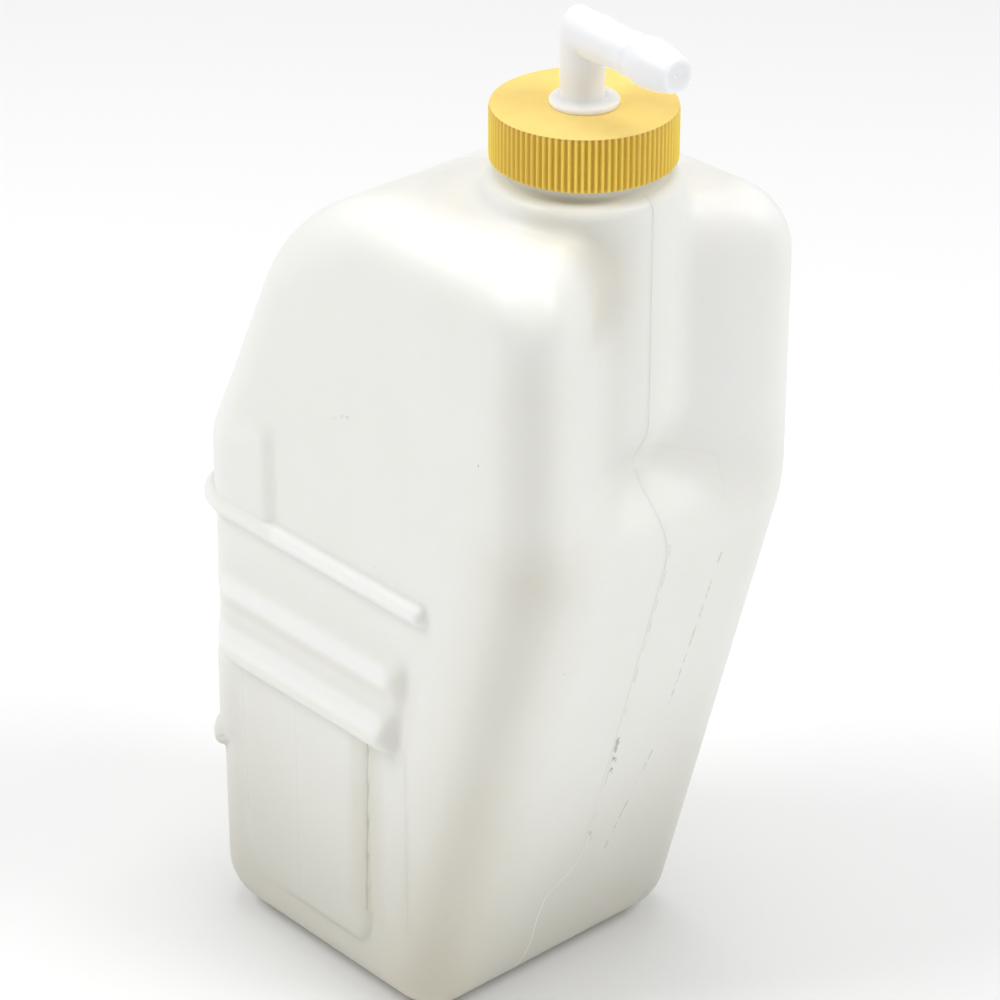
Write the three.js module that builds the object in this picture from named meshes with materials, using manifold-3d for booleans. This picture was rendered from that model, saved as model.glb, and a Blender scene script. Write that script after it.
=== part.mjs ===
// Blow-moulded liquid reservoir bottle with a screw cap and a swivelling elbow spout.
// Millimetres, +Z up, +X towards the front (the side with the neck column), origin at the
// centre of the flat base. The mould's parting plane is y = 0.
import * as THREE from 'three';
import { mergeVertices } from 'three/addons/utils/BufferGeometryUtils.js';
import Module from 'manifold-3d';

const wasm = await Module();
wasm.setup();

// ---- Tank ----
const WALL = 2.2;
const HALF_WIDTH = 56.3;
const EDGE_RADIUS = 17.4;         // rounding between the two broad sides and everything else
const REAR_X = -53.5;
const BASE_FRONT_X = 53.5;
const FRONT_X = 104.7;
const CREASE_Z = 178.9;           // below this the front leans back to the base
const SHOULDER_Z = 275;
const SLOPE_TOP_X = -6.5;         // the rear slope runs from here on the shoulder ...
const SLOPE_FOOT_Z = 176.7;       // ... to here on the rear wall
const BASE_CORNER_RADIUS = 18.5;
const FRONT_CORNER_RADIUS = 20.7;
const CREASE_RADIUS = 58;
const SLOPE_TOP_RADIUS = 69;
const SLOPE_FOOT_RADIUS = 27.5;
const EDGE_STEPS = 5;
const ARC_STEPS = 5;

// ---- Valley in the front, and the column that carries the neck ----
const AXIS_X = 64.5;              // the column, neck, cap and spout share this vertical axis
const VALLEY_FLOOR_X = 86;
const VALLEY_HALF_WIDTH = 33;     // where its 45 degree flanks meet the front
const VALLEY_FOOT_Z = 192.3;
const VALLEY_FOOT_SLOPE = 0.445;
const COLUMN_RADIUS = 29;
const COLUMN_FOOT_Z = 198;
const COLUMN_TOP_Z = 284;
const COLUMN_FOOT_ROUND = 16;
const COLUMN_TOP_ROUND = 4;
const NECK_RADIUS = 23.4;
const MOUTH_RADIUS = 20.5;
const NECK_TOP_Z = 299.5;

// ---- Screw thread: right hand, half-round ----
const PITCH = 5;
const THREAD_TURNS = 1.5;
const THREAD_RADIUS = 1.2;
const NECK_THREAD_R = 23.6;
const CAP_THREAD_R = 25.1;
const THREAD_START_Z = 290;

// ---- Side and rear relief of the tank ----
const BEAD_RADIUS = 3.6;
const SIDE_BEAD = { z: 153.6, front: 58.5 };
const PAD = { rear: -38, front: -12.5, low: 153.6, high: 190.6, rise: 1.5 };
const LEDGE = { rear: -32, front: 48 };
const LEDGE_SECTION = [[0, 99.5], [4.6, 100.5], [6.5, 103.5], [6.2, 109], [3.4, 114.5], [2.8, 119],
  [4.4, 124], [4.4, 129], [2.2, 134], [0, 137]];
const PANEL = { rear: -32, front: 30.5, low: 19.6, high: 101, rise: 1.8, round: 14 };
const REAR_PAD = { low: 64, high: 98, rise: 1.4, end: 36 };

// ---- Cap ----
const CAP_TOP_Z = 304.6;
const CAP_SKIRT_Z = 288;
const CAP_RIB_COUNT = 90;
const CAP_CREST_R = 27.5;
const CAP_ROOT_R = 26.8;
const CAP_TOP_R = 27;
const CAP_BORE_R = 25.3;
const CAP_ROOF_Z = 302.4;         // underside of the cap's top wall
const CAP_HOLE_R = 5.2;
const SEAL_SEAT_R = 7.6;          // counterbore round the hole that takes the seal ring
const SEAL_SEAT_DEPTH = 1.3;
const GAP = 0.3;

// ---- Spout ----
const STEM_RADIUS = 6.15;
const STEM_FLARE = 0.35;
const STEM_OFFSET = [-0.45, -0.5]; // the upper spout stands a little off the axis of its spigot
const FLANGE_RADIUS = 10.25;
const FLANGE_THICKNESS = 1.8;
const ARM_RADIUS = 6.35;
const ARM_Z = CAP_TOP_Z + 22;
const ARM_HEADING = -5;           // degrees from +X, towards -Y
const KNUCKLE_RADIUS = 7;          // upright back of the elbow, where stem and arm meet
const KNUCKLE_PROFILE = [[0, -9], [3.6, -8.8], [5.6, -7.8], [6.4, -6], [6.4, 2], [0, 2]];
const COLLAR = { at: 21.8, rise: 0.25 };
const BEAD_PROFILE = [[6.4, 26.5], [7.1, 28.2], [7.35, 30], [7.25, 33], [6.7, 37], [5.4, 41], [4.4, 42.8]];
const SPOUT_BORE_R = 2.6;
const SPIGOT_RADIUS = 4.6;
const BARB_RADIUS = 3.6;
const SPIGOT_STEP_Z = 299.3;
const SPIGOT_END_Z = 281;

// ---- Dip tube ----
const TUBE_RADIUS = 5.1;
const TUBE_BORE_R = 3.9;
const TUBE_TOP_Z = 298.7;
const TUBE_BEND_Z = 233;
const TUBE_FOOT = { x: -7.5, z: 8 };
const CLIP = { low: 286, high: 291, band: 0.9, ear: 3.2 };

const material = (color, roughness) => new THREE.MeshStandardMaterial({ color, roughness, metalness: 0 });
const milkWhite = material(0xf1f2ea, 0.42);
const yellow = material(0xe9bd45, 0.5);
const clearWhite = material(0xeef1f3, 0.35);
const darkRubber = material(0x26282a, 0.8);
const greyFoam = material(0xb9bcb8, 0.85);
const springSteel = new THREE.MeshStandardMaterial({ color: 0xb4b7ba, roughness: 0.35, metalness: 1 });
const tubeClear = material(0xdfe6e8, 0.3);

const deg = THREE.MathUtils.degToRad;

/** A closed three.js geometry as a solid that can be joined and cut. */
function solid(geometry) {
  const bare = geometry.clone();
  bare.deleteAttribute('normal');
  bare.deleteAttribute('uv');
  const merged = mergeVertices(bare, 1e-4);
  return new wasm.Manifold(new wasm.Mesh({
    numProp: 3,
    vertProperties: new Float32Array(merged.attributes.position.array),
    triVerts: new Uint32Array(merged.index.array),
  }));
}

function meshOf(name, shape, look) {
  const data = shape.getMesh();
  const geometry = new THREE.BufferGeometry();
  geometry.setAttribute('position', new THREE.BufferAttribute(Float32Array.from(data.vertProperties), 3));
  geometry.setIndex(Array.from(data.triVerts));
  geometry.computeVertexNormals();
  const mesh = new THREE.Mesh(geometry, look);
  mesh.name = name;
  return mesh;
}

/** Turned solid about a vertical at `offset` from the neck's axis; the profile runs upwards. */
function turned(profile, segments, offset = [0, 0]) {
  const geometry = new THREE.LatheGeometry(profile.map(([r, z]) => new THREE.Vector2(r, z)), segments);
  return solid(geometry.rotateX(Math.PI / 2).translate(AXIS_X + offset[0], offset[1], 0));
}

const cylinder = (radius, low, high, segments, offset) =>
  turned([[0, low], [radius, low], [radius, high], [0, high]], segments, offset);

const ring = (inner, outer, low, high, segments) =>
  turned([[inner, low], [outer, low], [outer, high], [inner, high], [inner, low]], segments);

function box(low, high) {
  const size = high.map((value, i) => value - low[i]);
  const geometry = new THREE.BoxGeometry(...size);
  return solid(geometry.translate(low[0] + size[0] / 2, low[1] + size[1] / 2, low[2] + size[2] / 2));
}

/** Convex outline, counter-clockwise, with each corner [x, z, radius] rounded by a true arc. */
function roundedOutline(corners) {
  const shape = new THREE.Shape();
  corners.forEach(([x, z, radius], i) => {
    const corner = new THREE.Vector2(x, z);
    const [before, after] = [corners.at(i - 1), corners[(i + 1) % corners.length]]
      .map(([px, pz]) => new THREE.Vector2(px, pz).sub(corner).normalize());
    const half = Math.acos(THREE.MathUtils.clamp(before.dot(after), -1, 1)) / 2;
    const centre = before.clone().add(after).normalize().multiplyScalar(radius / Math.sin(half)).add(corner);
    const start = before.multiplyScalar(radius / Math.tan(half)).add(corner).sub(centre);
    const end = after.multiplyScalar(radius / Math.tan(half)).add(corner).sub(centre);
    shape.absarc(centre.x, centre.y, radius, start.angle(), end.angle(), false);
  });
  shape.closePath();
  return shape;
}

/** Side outline swept across the width; `inset` moves every face inwards (or outwards if negative). */
function tankForm(inset) {
  const outline = roundedOutline([
    [REAR_X, 0, BASE_CORNER_RADIUS],
    [BASE_FRONT_X, 0, BASE_CORNER_RADIUS],
    [FRONT_X, CREASE_Z, CREASE_RADIUS],
    [FRONT_X, SHOULDER_Z, FRONT_CORNER_RADIUS],
    [SLOPE_TOP_X, SHOULDER_Z, SLOPE_TOP_RADIUS],
    [REAR_X, SLOPE_FOOT_Z, SLOPE_FOOT_RADIUS],
  ]);
  const geometry = new THREE.ExtrudeGeometry(outline, {
    depth: 2 * (HALF_WIDTH - EDGE_RADIUS),
    bevelEnabled: true,
    bevelThickness: EDGE_RADIUS - inset,
    bevelSize: EDGE_RADIUS - inset,
    bevelOffset: -EDGE_RADIUS,
    bevelSegments: EDGE_STEPS,
    curveSegments: ARC_STEPS,
    steps: 1,
  });
  return solid(geometry.translate(0, 0, EDGE_RADIUS - HALF_WIDTH).rotateX(Math.PI / 2));
}

/** The hollow sunk into the front around the column; `grow` moves its faces into the tank. */
function valleyForm(grow) {
  const flankReach = FRONT_X - VALLEY_HALF_WIDTH - grow * Math.SQRT2;
  const mouthX = FRONT_X + 20;
  const floorX = VALLEY_FLOOR_X - grow;
  const plan = new THREE.Shape();
  plan.moveTo(floorX, flankReach - floorX);
  plan.lineTo(mouthX, flankReach - mouthX);
  plan.lineTo(mouthX, mouthX - flankReach);
  plan.lineTo(floorX, floorX - flankReach);
  plan.closePath();
  const upright = solid(new THREE.ExtrudeGeometry(plan, { depth: 200, bevelEnabled: false }).translate(0, 0, 120));
  const footAt = (x) => VALLEY_FOOT_Z - VALLEY_FOOT_SLOPE * (x - VALLEY_FLOOR_X) - grow * 1.09;
  const side = new THREE.Shape();
  side.moveTo(floorX - 1, footAt(floorX - 1));
  side.lineTo(mouthX + 1, footAt(mouthX + 1));
  side.lineTo(mouthX + 1, 330);
  side.lineTo(floorX - 1, 330);
  side.closePath();
  const above = new THREE.ExtrudeGeometry(side, { depth: 160, bevelEnabled: false });
  return upright.intersect(solid(above.translate(0, 0, -80).rotateX(Math.PI / 2)));
}

/** Upright round column under the neck, with a rounded foot that shows in the valley. */
function columnForm(inset) {
  const radius = COLUMN_RADIUS - inset;
  const top = COLUMN_TOP_Z - inset;
  const foot = [0, 1, 2, 3, 4].map((i) => {
    const angle = (i / 4) * (Math.PI / 2);
    const round = COLUMN_FOOT_ROUND - inset;
    return [radius - round + round * Math.sin(angle), COLUMN_FOOT_Z + COLUMN_FOOT_ROUND - round * Math.cos(angle)];
  });
  return turned([[0, foot[0][1]], ...foot, [radius, top - COLUMN_TOP_ROUND],
    [radius - 0.3 * COLUMN_TOP_ROUND, top - 0.3 * COLUMN_TOP_ROUND],
    [radius - COLUMN_TOP_ROUND, top], [0, top]], 40);
}

/** Half-round screw thread, right hand, starting at `angle` and height z. */
function thread(helixRadius, angle, z) {
  class Helix extends THREE.Curve {
    getPoint(t, target = new THREE.Vector3()) {
      const turn = angle + t * THREAD_TURNS * 2 * Math.PI;
      return target.set(
        AXIS_X + helixRadius * Math.cos(turn), helixRadius * Math.sin(turn), z + t * THREAD_TURNS * PITCH);
    }
  }
  const section = new THREE.Shape().absarc(0, 0, THREAD_RADIUS, 0, 2 * Math.PI, false);
  return solid(new THREE.ExtrudeGeometry(section, {
    extrudePath: new Helix(), steps: 40, curveSegments: 4, bevelEnabled: false,
  }));
}

/** Bead of round section that runs along the side, round the rear corner and across the rear. */
function wrapBead(z, radius, frontX, rearEndY) {
  const sideY = -HALF_WIDTH;
  const path = new THREE.CurvePath();
  const at = (x, y) => new THREE.Vector3(x, y, z);
  const cornerX = REAR_X + EDGE_RADIUS;
  const cornerY = sideY + EDGE_RADIUS;
  const bend = EDGE_RADIUS * 0.448;
  path.add(new THREE.LineCurve3(at(frontX, sideY), at(cornerX, sideY)));
  path.add(new THREE.CubicBezierCurve3(
    at(cornerX, sideY), at(cornerX - EDGE_RADIUS + bend, sideY),
    at(REAR_X, cornerY - EDGE_RADIUS + bend), at(REAR_X, cornerY)));
  path.add(new THREE.LineCurve3(at(REAR_X, cornerY), at(REAR_X, rearEndY)));
  const section = new THREE.Shape().absarc(0, 0, radius, 0, 2 * Math.PI, false);
  return solid(new THREE.ExtrudeGeometry(section, {
    extrudePath: path, steps: 24, curveSegments: 4, bevelEnabled: false,
  }));
}

/** Flat-faced pad that stands `rise` off the -Y side, with the given side outline. */
function sidePad(corners, rise) {
  const slab = new THREE.ExtrudeGeometry(roundedOutline(corners), {
    depth: rise + WALL, bevelEnabled: false, curveSegments: ARC_STEPS,
  });
  return solid(slab.rotateX(Math.PI / 2).translate(0, WALL - HALF_WIDTH, 0));
}

/** Two stacked soft ridges along the -Y side. */
function ledge() {
  const section = new THREE.Shape(LEDGE_SECTION.map(([rise, z]) => new THREE.Vector2(-HALF_WIDTH - rise, z)));
  section.lineTo(WALL - HALF_WIDTH, LEDGE_SECTION.at(-1)[1]);
  section.lineTo(WALL - HALF_WIDTH, LEDGE_SECTION[0][1]);
  section.closePath();
  const run = new THREE.ExtrudeGeometry(section, { depth: LEDGE.front - LEDGE.rear, bevelEnabled: false });
  return solid(run.rotateX(Math.PI / 2).rotateZ(Math.PI / 2).translate(LEDGE.rear, 0, 0));
}

/** Everything that stands proud of the plain tank on its side and rear. */
function relief() {
  const padOutline = [[PAD.rear, PAD.low, 1], [PAD.front, PAD.low, 1], [PAD.front, PAD.high, 3], [PAD.rear, PAD.high, 3]];
  const panelOutline = [[PANEL.rear, PANEL.low, PANEL.round], [PANEL.front, PANEL.low, PANEL.round / 2],
    [PANEL.front, PANEL.high, 1], [PANEL.rear, PANEL.high, 1]];
  const cornerX = REAR_X + EDGE_RADIUS;
  const rearPad = tankForm(-REAR_PAD.rise)
    .intersect(box([REAR_X - 9, -80, REAR_PAD.low], [cornerX - 4, REAR_PAD.end, REAR_PAD.high]));
  return sidePad(padOutline, PAD.rise).add(sidePad(panelOutline, PANEL.rise)).add(ledge()).add(rearPad)
    .add(wrapBead(SIDE_BEAD.z, BEAD_RADIUS, SIDE_BEAD.front, REAR_PAD.end))
    .add(wrapBead(REAR_PAD.low + 1, BEAD_RADIUS, cornerX - 2, REAR_PAD.end));
}

function tankBody() {
  const outside = tankForm(0).subtract(valleyForm(0)).add(columnForm(0)).add(relief())
    .add(cylinder(NECK_RADIUS, COLUMN_TOP_Z - 6, NECK_TOP_Z, 48))
    .add(thread(NECK_THREAD_R, 0, THREAD_START_Z));
  const inside = tankForm(WALL).subtract(valleyForm(WALL)).add(columnForm(WALL))
    .add(cylinder(MOUTH_RADIUS, COLUMN_TOP_Z - 12, NECK_TOP_Z + 1, 48));
  return meshOf('tank_body', outside.subtract(inside), milkWhite);
}

function screwCap() {
  const grip = new THREE.Shape();
  for (let i = 0; i < CAP_RIB_COUNT; i++) {
    const step = (2 * Math.PI) / CAP_RIB_COUNT;
    const points = [[CAP_ROOT_R, 0], [CAP_CREST_R, 0.35], [CAP_CREST_R, 0.65]];
    for (const [radius, part] of points) {
      const angle = (i + part) * step;
      const [x, y] = [radius * Math.cos(angle), radius * Math.sin(angle)];
      if (i === 0 && part === 0) grip.moveTo(x, y);
      else grip.lineTo(x, y);
    }
  }
  grip.closePath();
  const gripHeight = CAP_TOP_Z - 1 - CAP_SKIRT_Z;
  const ribs = new THREE.ExtrudeGeometry(grip, { depth: gripHeight, bevelEnabled: false });
  const disc = turned([[0, CAP_TOP_Z - 1.4], [CAP_TOP_R, CAP_TOP_Z - 1.4], [CAP_TOP_R, CAP_TOP_Z - 0.6],
    [CAP_TOP_R - 0.6, CAP_TOP_Z], [0, CAP_TOP_Z]], 60);
  const shell = solid(ribs.translate(AXIS_X, 0, CAP_SKIRT_Z)).add(disc);
  const hollow = cylinder(CAP_BORE_R, CAP_SKIRT_Z - 1, CAP_ROOF_Z, 48)
    .add(cylinder(CAP_HOLE_R, CAP_ROOF_Z - 1, CAP_TOP_Z + 1, 32))
    .add(cylinder(SEAL_SEAT_R, CAP_TOP_Z - SEAL_SEAT_DEPTH, CAP_TOP_Z + 1, 32));
  const inner = thread(CAP_THREAD_R, -Math.PI, THREAD_START_Z);
  return meshOf('screw_cap', shell.subtract(hollow).add(inner), yellow);
}

const capLiner = () => meshOf('cap_liner', ring(11.5, 23, NECK_TOP_Z + GAP, CAP_ROOF_Z - GAP, 48), greyFoam);

const sealRing = () => meshOf('spout_seal_ring',
  ring(SPIGOT_RADIUS + GAP, SEAL_SEAT_R - GAP, CAP_TOP_Z - SEAL_SEAT_DEPTH + GAP, CAP_TOP_Z, 32), darkRubber);

/** Push-on ring that holds the spout down, with a notch between each pair of gripping teeth. */
function retainer() {
  const low = CAP_ROOF_Z - GAP - 1.4;
  let shape = ring(SPIGOT_RADIUS + GAP, 9.2, low, CAP_ROOF_Z - GAP, 36);
  for (let i = 0; i < 6; i++) {
    const notch = new THREE.BoxGeometry(2.4, 1.2, 4).translate(6, 0, low).rotateZ(i * deg(60));
    shape = shape.subtract(solid(notch.translate(AXIS_X, 0, 0)));
  }
  return meshOf('spout_retainer', shape, springSteel);
}

/** Solid turned about the arm's axis, which leaves the stem at ARM_Z along ARM_HEADING. */
function alongArm(profile, segments, offset = [0, 0]) {
  const geometry = new THREE.LatheGeometry(profile.map(([r, s]) => new THREE.Vector2(r, s)), segments);
  return solid(geometry.rotateZ(deg(ARM_HEADING) - Math.PI / 2).translate(AXIS_X + offset[0], offset[1], ARM_Z));
}

function elbowSpout() {
  const seat = CAP_TOP_Z + GAP;
  const rim = seat + FLANGE_THICKNESS;
  const spigot = turned([[0, SPIGOT_END_Z], [BARB_RADIUS, SPIGOT_END_Z], [BARB_RADIUS, SPIGOT_STEP_Z],
    [SPIGOT_RADIUS, SPIGOT_STEP_Z], [SPIGOT_RADIUS, seat], [FLANGE_RADIUS, seat], [FLANGE_RADIUS, rim], [0, rim]], 32);
  const stem = turned([[0, seat + 0.5], [STEM_RADIUS + 1, seat + 0.5], [STEM_RADIUS + 1, rim], [STEM_RADIUS, rim + 1],
    [STEM_RADIUS + STEM_FLARE, ARM_Z], [0, ARM_Z]], 32, STEM_OFFSET);
  const [, tip] = BEAD_PROFILE.at(-1);
  const collarEdge = ARM_RADIUS + COLLAR.rise;
  const arm = alongArm([[0, 0], [ARM_RADIUS, 0], [ARM_RADIUS, COLLAR.at], [collarEdge, COLLAR.at], ...BEAD_PROFILE,
    [0, tip]], 32, STEM_OFFSET);
  const knuckle = cylinder(KNUCKLE_RADIUS, ARM_Z - ARM_RADIUS, ARM_Z + KNUCKLE_RADIUS, 32, STEM_OFFSET)
    .intersect(alongArm(KNUCKLE_PROFILE, 32, STEM_OFFSET));
  const bore = cylinder(SPOUT_BORE_R, SPIGOT_END_Z - 1, ARM_Z, 20)
    .add(alongArm([[0, -SPOUT_BORE_R], [SPOUT_BORE_R, -SPOUT_BORE_R], [SPOUT_BORE_R, tip + 1], [0, tip + 1]], 20));
  return meshOf('elbow_spout', spigot.add(stem).add(arm).add(knuckle).subtract(bore), clearWhite);
}

/** Soft tube: straight down through the neck, then leaning back to the low rear of the tank. */
function dipTube() {
  const { x, z } = TUBE_FOOT;
  const at = (px, pz) => new THREE.Vector3(px, 0, pz);
  const path = new THREE.CurvePath();
  path.add(new THREE.LineCurve3(at(AXIS_X, TUBE_TOP_Z), at(AXIS_X, TUBE_BEND_Z)));
  path.add(new THREE.CubicBezierCurve3(at(AXIS_X, TUBE_BEND_Z), at(AXIS_X, 150), at(x + 12, 110), at(x, z)));
  const tubeOf = (radius, from) => {
    const section = new THREE.Shape().absarc(0, 0, radius, 0, 2 * Math.PI, false);
    return solid(new THREE.ExtrudeGeometry(section, { extrudePath: from, steps: 30, curveSegments: 8, bevelEnabled: false }));
  };
  const bore = new THREE.CurvePath();
  bore.add(new THREE.LineCurve3(at(AXIS_X, TUBE_TOP_Z + 1), at(AXIS_X, TUBE_BEND_Z)));
  bore.add(new THREE.CubicBezierCurve3(at(AXIS_X, TUBE_BEND_Z), at(AXIS_X, 150), at(x + 12, 110), at(x - 0.12, z - 1)));
  return meshOf('dip_tube', tubeOf(TUBE_RADIUS, path).subtract(tubeOf(TUBE_BORE_R, bore)), tubeClear);
}

/** Spring band clip that grips the tube on the spigot, with two bent ears. */
function tubeClip() {
  const inner = TUBE_RADIUS + GAP;
  const outer = inner + CLIP.band;
  let shape = ring(inner, outer, CLIP.low, CLIP.high, 32);
  for (const y of [-1.9, 1.9]) {
    const [near, far] = [AXIS_X - inner - GAP, AXIS_X - outer - CLIP.ear];
    shape = shape.add(box([far, y - CLIP.band / 2, CLIP.low + 0.8], [near, y + CLIP.band / 2, CLIP.high - 0.8]));
  }
  return meshOf('tube_clip', shape, springSteel);
}

const bottle = new THREE.Group();
bottle.add(tankBody(), screwCap(), capLiner(), elbowSpout(), sealRing(), retainer(), dipTube(), tubeClip());

export default bottle;
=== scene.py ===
"""Liquid reservoir bottle with a ribbed screw cap and a swivelling elbow spout.

Sizes in the classes are millimetres in the part's own frame: the origin is the centre of the flat
base, +X points to the neck column, -Y is the broad side with the panel, +Z is up. A mesh is written
in metres, with its place in its vertices.
"""
import logging
import math
from dataclasses import dataclass
from enum import Enum
from typing import Sequence

import bpy
import numpy as np
from mathutils import Matrix, Vector


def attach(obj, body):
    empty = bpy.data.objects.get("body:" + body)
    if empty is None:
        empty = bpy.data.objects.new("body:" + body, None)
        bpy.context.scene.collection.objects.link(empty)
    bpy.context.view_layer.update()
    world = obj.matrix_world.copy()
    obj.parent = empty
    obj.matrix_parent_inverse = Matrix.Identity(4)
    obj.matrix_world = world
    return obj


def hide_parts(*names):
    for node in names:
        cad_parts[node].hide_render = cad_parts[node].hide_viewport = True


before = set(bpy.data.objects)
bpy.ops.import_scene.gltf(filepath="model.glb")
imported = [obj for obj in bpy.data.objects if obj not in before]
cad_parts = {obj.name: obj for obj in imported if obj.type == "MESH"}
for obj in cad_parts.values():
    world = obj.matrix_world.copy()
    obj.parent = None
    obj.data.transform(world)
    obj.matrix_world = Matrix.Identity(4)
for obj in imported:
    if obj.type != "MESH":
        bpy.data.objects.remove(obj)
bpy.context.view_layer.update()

Array = np.ndarray
Colour = tuple[float, float, float, float]
Socket = bpy.types.NodeSocket
log = logging.getLogger("reservoir")

MM = 0.001
AXIS_X = 64.5
FULL_TURN = 2.0 * np.pi
THREAD_START = 290.0
UP = np.array([0.0, 0.0, 1.0])


class Body(Enum):
    """The bodies of the mechanism that pieces ride on."""

    TANK = "tank"
    LINER = "liner"
    CAP = "cap"
    SPOUT = "spout"


class Slot(Enum):
    """The record's material slots."""

    TANK = "tank_plastic"
    CAP = "cap_plastic"
    LINER = "liner_foam"
    SPOUT = "spout_plastic"
    SEAL = "seal_rubber"
    SPRING = "spring_steel"
    TUBE = "tube_plastic"


# ------------------------------------------------------------------ surfaces

def ramp(low: float, high: float, value: Array) -> Array:
    """Smooth step: 0 up to `low`, 1 from `high`, 3t^2 - 2t^3 between; `low` may be the larger."""
    t = np.clip((value - low) / (high - low), 0.0, 1.0)
    return t * t * (3.0 - 2.0 * t)


def round_and(a: Array, b: Array, radius: float) -> Array:
    """Distance to what is inside both shapes, their edge rounded by `radius`.

    Formula: min(max(a, b), -r) plus the length of the two overshoots (a + r, b + r) above zero.
    """
    over = np.hypot(np.maximum(a + radius, 0.0), np.maximum(b + radius, 0.0))
    return np.minimum(np.maximum(a, b), -radius) + over


def round_or(a: Array, b: Array, radius: float) -> Array:
    """Distance to what is inside either shape, with a fillet of `radius` where they meet.

    Formula: max(min(a, b), r) minus the length of the two shortfalls (r - a, r - b) above zero.
    """
    short = np.hypot(np.maximum(radius - a, 0.0), np.maximum(radius - b, 0.0))
    return np.maximum(np.minimum(a, b), radius) - short


def softened(height: Array, blend: float) -> Array:
    """Height above a surface with its foot blended in: (h + sqrt(h^2 + k^2)) / 2."""
    return 0.5 * (height + np.sqrt(height * height + blend * blend))


def ring_rows(profile: Array, turns: Array, centre: Sequence[float] = (AXIS_X, 0.0)) -> Array:
    """Surface of revolution: each (radius, z) of the profile carried round a vertical axis.

    Args:
        profile: (rows, 2) radius and height, or (rows, columns, 2) where they change with the angle.
        turns: angle of each column, radians.
        centre: x and y of the axis.

    Returns:
        (rows, columns, 3) points.
    """
    if profile.ndim == 2:
        profile = np.repeat(profile[:, None, :], len(turns), axis=1)
    radius, height = profile[..., 0], profile[..., 1]
    return np.stack([centre[0] + radius * np.cos(turns), centre[1] + radius * np.sin(turns), height], -1)


def swept_rows(path: Array, side: Array, lift: Array, section: Array) -> Array:
    """A section carried along a path: point = path + u * side + v * lift for each (u, v).

    Args:
        path: (rows, 3) points.
        side: (rows, 3) unit vectors for the section's u.
        lift: (rows, 3) unit vectors for the section's v.
        section: (columns, 2) or (rows, columns, 2) closed outline.

    Returns:
        (rows, columns, 3) points.
    """
    if section.ndim == 2:
        section = np.repeat(section[None], len(path), axis=0)
    return path[:, None] + section[..., :1] * side[:, None] + section[..., 1:] * lift[:, None]


def unit(vectors: Array) -> Array:
    """Vectors scaled to length one."""
    return vectors / np.linalg.norm(vectors, axis=-1, keepdims=True)


def even_values(points: Array, values: Array, count: int, bend: float) -> Array:
    """Picks `count` of the row values so that rows lie evenly, and closer where the surface bends.

    The running sum of (distance to the next row + bend * angle turned) is cut into equal parts.

    Args:
        points: (rows, columns, 3) a trial grid, one row for each value.
        values: (rows,) what each trial row was made with.
        count: how many rows are wanted.
        bend: length in millimetres that one radian of turning counts as.

    Returns:
        (count,) values.
    """
    step = np.diff(points, axis=0)
    length = np.linalg.norm(step, axis=-1)
    heading = step / np.maximum(length, 1e-6)[..., None]
    turned = np.arccos(np.clip((heading[1:] * heading[:-1]).sum(-1), -1.0, 1.0))
    weight = length.copy()
    weight[1:] += bend * turned
    share = 0.5 * weight.mean(1) + 0.5 * np.quantile(weight, 0.85, axis=1)
    total = np.concatenate([[0.0], np.cumsum(share)])
    return np.interp(np.linspace(0.0, total[-1], count), total, values)


def rounded_rectangle(u: Array, v: Array, low: Sequence[float], high: Sequence[float],
                      radius: Array) -> Array:
    """Distance to a rectangle with rounded corners, negative inside."""
    du = np.abs(u - 0.5 * (low[0] + high[0])) - 0.5 * (high[0] - low[0]) + radius
    dv = np.abs(v - 0.5 * (low[1] + high[1])) - 0.5 * (high[1] - low[1]) + radius
    outside = np.hypot(np.maximum(du, 0.0), np.maximum(dv, 0.0))
    return outside + np.minimum(np.maximum(du, dv), 0.0) - radius


# ------------------------------------------------------------------ meshes

def grid_faces(rows: int, columns: int, wrap_rows: bool) -> Array:
    """Corner numbers of the quads of a grid that closes round its columns."""
    lower = np.arange(rows if wrap_rows else rows - 1)[:, None]
    upper = (lower + 1) % rows
    here = np.arange(columns)[None]
    after = (here + 1) % columns
    quads = [lower * columns + here, lower * columns + after, upper * columns + after, upper * columns + here]
    return np.stack(quads, -1).reshape(-1, 4)


def enclosed_volume(points: Array, triangles: Array) -> float:
    """Volume inside a closed shell: a sixth of the sum of the corners' triple products."""
    a, b, c = (points[triangles[:, i]] for i in range(3))
    return float(np.einsum("ij,ij->i", a, np.cross(b, c)).sum() / 6.0)


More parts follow.
